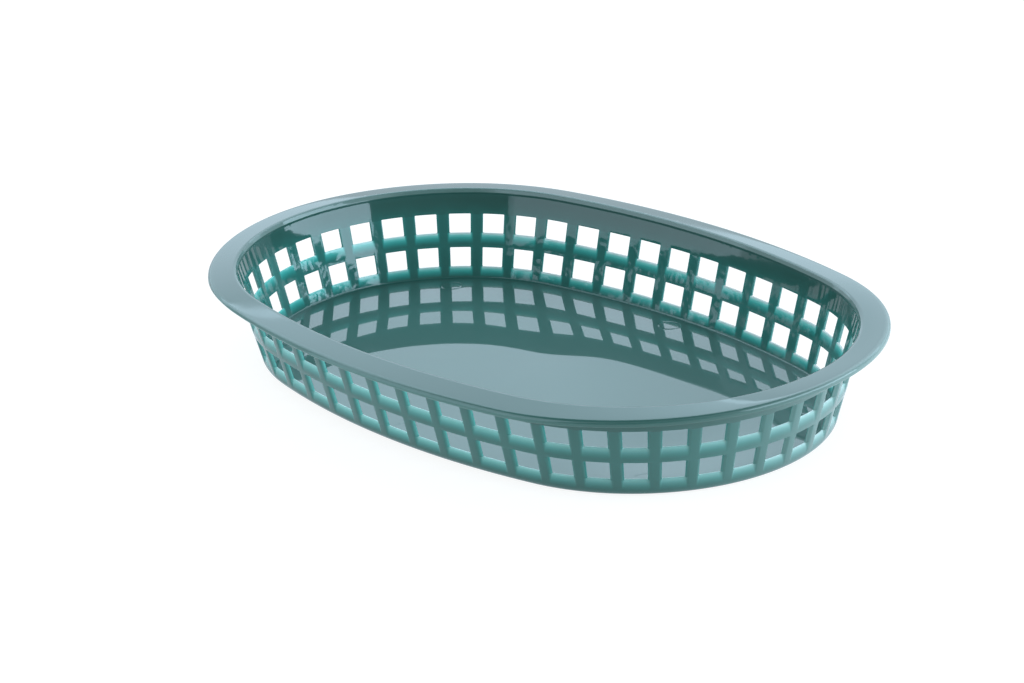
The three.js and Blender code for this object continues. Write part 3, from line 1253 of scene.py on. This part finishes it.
def add_softboxes(stage):
    """Softboxes either side of the camera's dark gap, and two wide ones behind the basket."""
    aside = math.degrees(stage.gap_turn)
    turn = math.degrees(stage.dark_gap) + SIDE_SPAN / 2
    width = 2 * SOFTBOX_REACH * math.tan(math.radians(SIDE_SPAN / 2))
    boxes = [
        Softbox("left softbox", aside + turn, 16, width, height=0.8, level=stage.left_level),
        Softbox("right softbox", aside - turn, 24, width, height=1.3, level=stage.right_level),
        Softbox("back softbox", 180, 20.5, width=4.0, height=0.56, level=stage.back_level),
        Softbox("top softbox", 180, 48, width=3.0, height=1.0, level=stage.top_level),
    ]
    for box in boxes:
        add_softbox(stage, box)


# The room as gloss shows it: pale walls, a dim top and the unlit side behind the camera
ROOM_WALL = (0.93, 1.05, 1.2, 1)
ROOM_TOP = (0.12, 0.14, 0.15, 1)
ROOM_GAP = (0.14, 0.15, 0.16, 1)
ROOM_TOP_FADE = (0.76, 0.86)
ROOM_GAP_FADE = 0.02
WHITE = (1, 1, 1, 1)


def add_world(stage):
    """A white surround for the camera, the room for gloss and a soft ambient for the rest."""
    world = bpy.data.worlds.new("surround")
    tree = empty_tree(world)
    path = add_node(tree, "ShaderNodeLightPath", (-900, 300))
    place = add_node(tree, "ShaderNodeTexCoord", (-1100, 0)).outputs["Generated"]
    back = direction(stage.azimuth + stage.gap_turn, 0)
    facing = add_node(tree, "ShaderNodeVectorMath", (-900, 0), {0: place, 1: back},
                      operation="DOT_PRODUCT")
    edge = math.cos(stage.dark_gap)
    gap = ramp(tree, (-700, 0), facing.outputs["Value"], edge - ROOM_GAP_FADE, edge + ROOM_GAP_FADE)
    height = add_node(tree, "ShaderNodeSeparateXYZ", (-900, -250), {"Vector": place})
    above = ramp(tree, (-700, -250), height.outputs["Z"], *ROOM_TOP_FADE)
    wall = mix_colours(tree, (-500, -250), above, ROOM_WALL, ROOM_TOP)
    room = mix_colours(tree, (-500, 0), gap, wall, ROOM_GAP)
    shown = math_node(tree, (-700, 300), "MAXIMUM", path.outputs["Is Glossy Ray"],
                      path.outputs["Is Transmission Ray"])
    level = (stage.ambient, stage.ambient, stage.ambient, 1)
    glossy = mix_colours(tree, (-300, 150), shown, level, room)
    final = mix_colours(tree, (-100, 150), path.outputs["Is Camera Ray"], glossy, WHITE)
    background = add_node(tree, "ShaderNodeBackground", (100, 0), {"Color": final, "Strength": 1.0})
    add_node(tree, "ShaderNodeOutputWorld", (300, 0), {"Surface": background.outputs["Background"]})
    bpy.context.scene.world = world


# The table: its colours to the camera, to gloss and to soft light
TABLE_HALF = 4.0
TABLE_LEVEL = -0.05 * MM
TABLE_FACE = (0.9, 0.9, 0.9, 1)
TABLE_FACE_SHOWN = (0.24, 0.24, 0.24, 1)
TABLE_GLOW_SHOWN = (0.88, 0.88, 0.88, 1)
TABLE_GLOW_IN_GLOSS = (0.74, 0.82, 0.9, 1)
TABLE_GLOW = (0.2, 0.21, 0.22, 1)


def table_white():
    """A pale face that shows shadows, is white to the camera and is clear from below."""
    material = bpy.data.materials.new("table white")
    tree = empty_tree(material)
    path = add_node(tree, "ShaderNodeLightPath", (-800, 200))
    camera, gloss = path.outputs["Is Camera Ray"], path.outputs["Is Glossy Ray"]
    shown = math_node(tree, (-600, 200), "MAXIMUM", camera, gloss)
    shown = math_node(tree, (-450, 200), "MAXIMUM", shown, path.outputs["Is Transmission Ray"])
    face = mix_colours(tree, (-250, 200), shown, TABLE_FACE, TABLE_FACE_SHOWN)
    bounce = mix_colours(tree, (-450, -100), gloss, TABLE_GLOW, TABLE_GLOW_IN_GLOSS)
    glow = mix_colours(tree, (-250, -100), camera, bounce, TABLE_GLOW_SHOWN)
    side = add_node(tree, "ShaderNodeNewGeometry", (-450, -300))
    seen = math_node(tree, (-250, -300), "SUBTRACT", 1.0, side.outputs["Backfacing"])
    shader = add_node(tree, "ShaderNodeBsdfPrincipled", (0, 0), {
        "Base Color": face, "Alpha": seen, "Emission Color": glow, "Emission Strength": 1.0,
        "Roughness": 1.0, "Specular IOR Level": 0.0})
    add_node(tree, "ShaderNodeOutputMaterial", (300, 0), {"Surface": shader.outputs["BSDF"]})
    return material


def add_table():
    """A wide pale floor that keeps the basket's shadow."""
    corners = ((-1, -1), (1, -1), (1, 1), (-1, 1))
    points = [(x * TABLE_HALF, y * TABLE_HALF, TABLE_LEVEL) for x, y in corners]
    table = bpy.data.objects.new("table", mesh_of("table", points, [[0, 1, 2, 3]]))
    bpy.context.scene.collection.objects.link(table)
    table.data.materials.append(table_white())


# Operators

class BASKET_OT_stage(bpy.types.Operator):
    """Set up the camera, the softboxes, the white surround and the table"""

    bl_idname = "basket.stage"
    bl_label = "Stage"

    def execute(self, context):
        stage = context.scene.basket_stage
        context.scene.view_settings.view_transform = "Standard"
        add_camera(stage)
        add_softboxes(stage)
        add_world(stage)
        add_table()
        return {"FINISHED"}


class BASKET_OT_rim(bpy.types.Operator):
    """Make the flanged rim"""

    bl_idname = "basket.rim"
    bl_label = "Rim"

    def execute(self, context):
        make_rim(context.scene.basket_sizes)
        return {"FINISHED"}


class BASKET_OT_upper_band(bpy.types.Operator):
    """Make the plain band under the rim"""

    bl_idname = "basket.upper_band"
    bl_label = "Upper band"

    def execute(self, context):
        make_upper_band(context.scene.basket_sizes)
        return {"FINISHED"}


class BASKET_OT_middle_rail(bpy.types.Operator):
    """Make the rail between the two rows of windows"""

    bl_idname = "basket.middle_rail"
    bl_label = "Middle rail"

    def execute(self, context):
        make_middle_rail(context.scene.basket_sizes)
        return {"FINISHED"}


class BASKET_OT_lower_band(bpy.types.Operator):
    """Make the band at the foot of the wall"""

    bl_idname = "basket.lower_band"
    bl_label = "Lower band"

    def execute(self, context):
        make_lower_band(context.scene.basket_sizes)
        return {"FINISHED"}


class BASKET_OT_uprights(bpy.types.Operator):
    """Make the uprights of the lattice, arc by arc"""

    bl_idname = "basket.uprights"
    bl_label = "Uprights"

    def execute(self, context):
        for name in UPRIGHT_GROUPS:
            make_uprights(context.scene.basket_sizes, name)
        return {"FINISHED"}


class BASKET_OT_floor(bpy.types.Operator):
    """Make the solid floor"""

    bl_idname = "basket.floor"
    bl_label = "Floor"

    def execute(self, context):
        make_floor(context.scene.basket_sizes)
        return {"FINISHED"}


OPERATORS = [
    BASKET_OT_stage,
    BASKET_OT_rim,
    BASKET_OT_upper_band,
    BASKET_OT_middle_rail,
    BASKET_OT_lower_band,
    BASKET_OT_uprights,
    BASKET_OT_floor,
]


class BASKET_PT_panel(bpy.types.Panel):
    """Lists the basket's pieces and its sizes"""

    bl_idname = "BASKET_PT_panel"
    bl_label = "Serving basket"
    bl_space_type = "VIEW_3D"
    bl_region_type = "UI"
    bl_category = "Basket"

    def draw(self, context):
        column = self.layout.column()
        for operator in OPERATORS:
            column.operator(operator.bl_idname)
        for settings in GROUPS:
            group = getattr(context.scene, settings)
            box = self.layout.box()
            for name in group.bl_rna.properties.keys():
                if name not in {"rna_type", "name"}:
                    box.prop(group, name)


GROUPS = {
    "basket_sizes": BasketSizes,
    "basket_finish": BasketFinish,
    "basket_stage": StageSettings,
}


def register():
    """Registers the settings, the operators and the panel."""
    for name, group in GROUPS.items():
        bpy.utils.register_class(group)
        setattr(bpy.types.Scene, name, PointerProperty(type=group))
    for kind in (*OPERATORS, BASKET_PT_panel):
        bpy.utils.register_class(kind)


def unregister():
    """Removes what register added."""
    for kind in (BASKET_PT_panel, *reversed(OPERATORS)):
        bpy.utils.unregister_class(kind)
    for name, group in reversed(GROUPS.items()):
        delattr(bpy.types.Scene, name)
        bpy.utils.unregister_class(group)


def main():
    """Builds the stage and every piece."""
    register()
    bpy.ops.basket.stage()
    bpy.ops.basket.rim()
    bpy.ops.basket.upper_band()
    bpy.ops.basket.middle_rail()
    bpy.ops.basket.lower_band()
    bpy.ops.basket.uprights()
    bpy.ops.basket.floor()
    bpy.context.view_layer.update()


if __name__ == "__main__":
    main()
